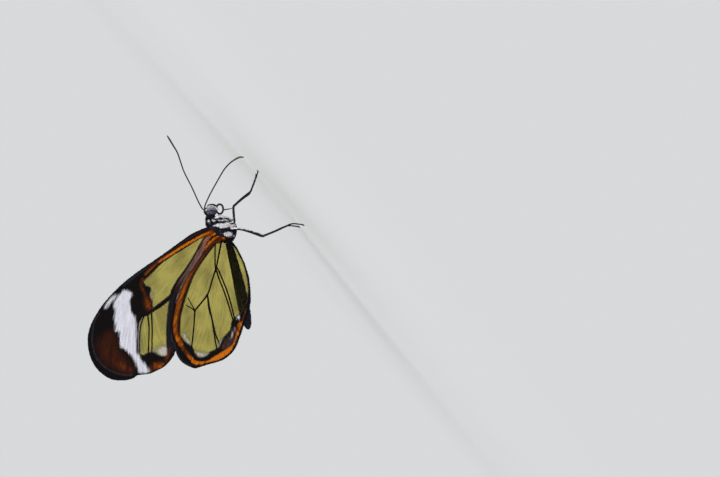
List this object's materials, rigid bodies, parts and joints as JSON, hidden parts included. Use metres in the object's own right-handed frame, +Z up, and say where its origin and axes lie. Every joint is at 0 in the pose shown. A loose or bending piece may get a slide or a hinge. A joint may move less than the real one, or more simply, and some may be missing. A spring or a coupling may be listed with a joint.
{
  "type": "glasswing butterfly",
  "caption": "Clear-winged butterfly standing at rest on slender legs, wings closed upright over its back, feelers spread and tongue coiled.",
  "frame": {"origin": "middle of the whole butterfly's box, on the floor that its four feet stand on", "axes": "+X the way it faces, +Z up, -Y towards its right side"},
  "size_m": [0.0332, 0.0146, 0.0391],
  "materials": {
    "body_scales": "black scales with white spots and hair",
    "abdomen_scales": "dark brown-black scales, slightly violet",
    "eye": "glossy dark purple facets",
    "pale_scales": "white to lavender scales and hair",
    "tongue": "ringed black-brown tube",
    "feeler": "black jointed, browner at the club",
    "leg": "black, flattened scales, pale line on the thigh",
    "clear_wing": "clear membrane tinted khaki",
    "wing_scales": "black, rust and white overlapping scales",
    "wing_vein": "black raised veins"
  },
  "bodies": {
    "root": {"head": "body_scales", "prothorax": "body_scales", "thorax": "body_scales", "abdomen": "abdomen_scales", "eye_left": "eye", "eye_right": "eye", "palp_left": "pale_scales", "palp_right": "pale_scales", "proboscis": "tongue", "proboscis_tip": "tongue", "antenna_left": "feeler", "antenna_right": "feeler", "foreleg_left": "pale_scales", "foreleg_right": "pale_scales", "mid_femur_left": "leg", "mid_femur_right": "leg", "mid_tibia_left": "leg", "mid_tibia_right": "leg", "mid_tarsus_left": "leg", "mid_tarsus_right": "leg", "hind_femur_left": "leg", "hind_femur_right": "leg", "hind_tibia_left": "leg", "hind_tibia_right": "leg", "hind_tarsus_left": "leg", "hind_tarsus_right": "leg", "forewing_left": "clear_wing", "forewing_right": "clear_wing", "hindwing_left": "clear_wing", "hindwing_right": "clear_wing"}
  },
  "joints": []
}
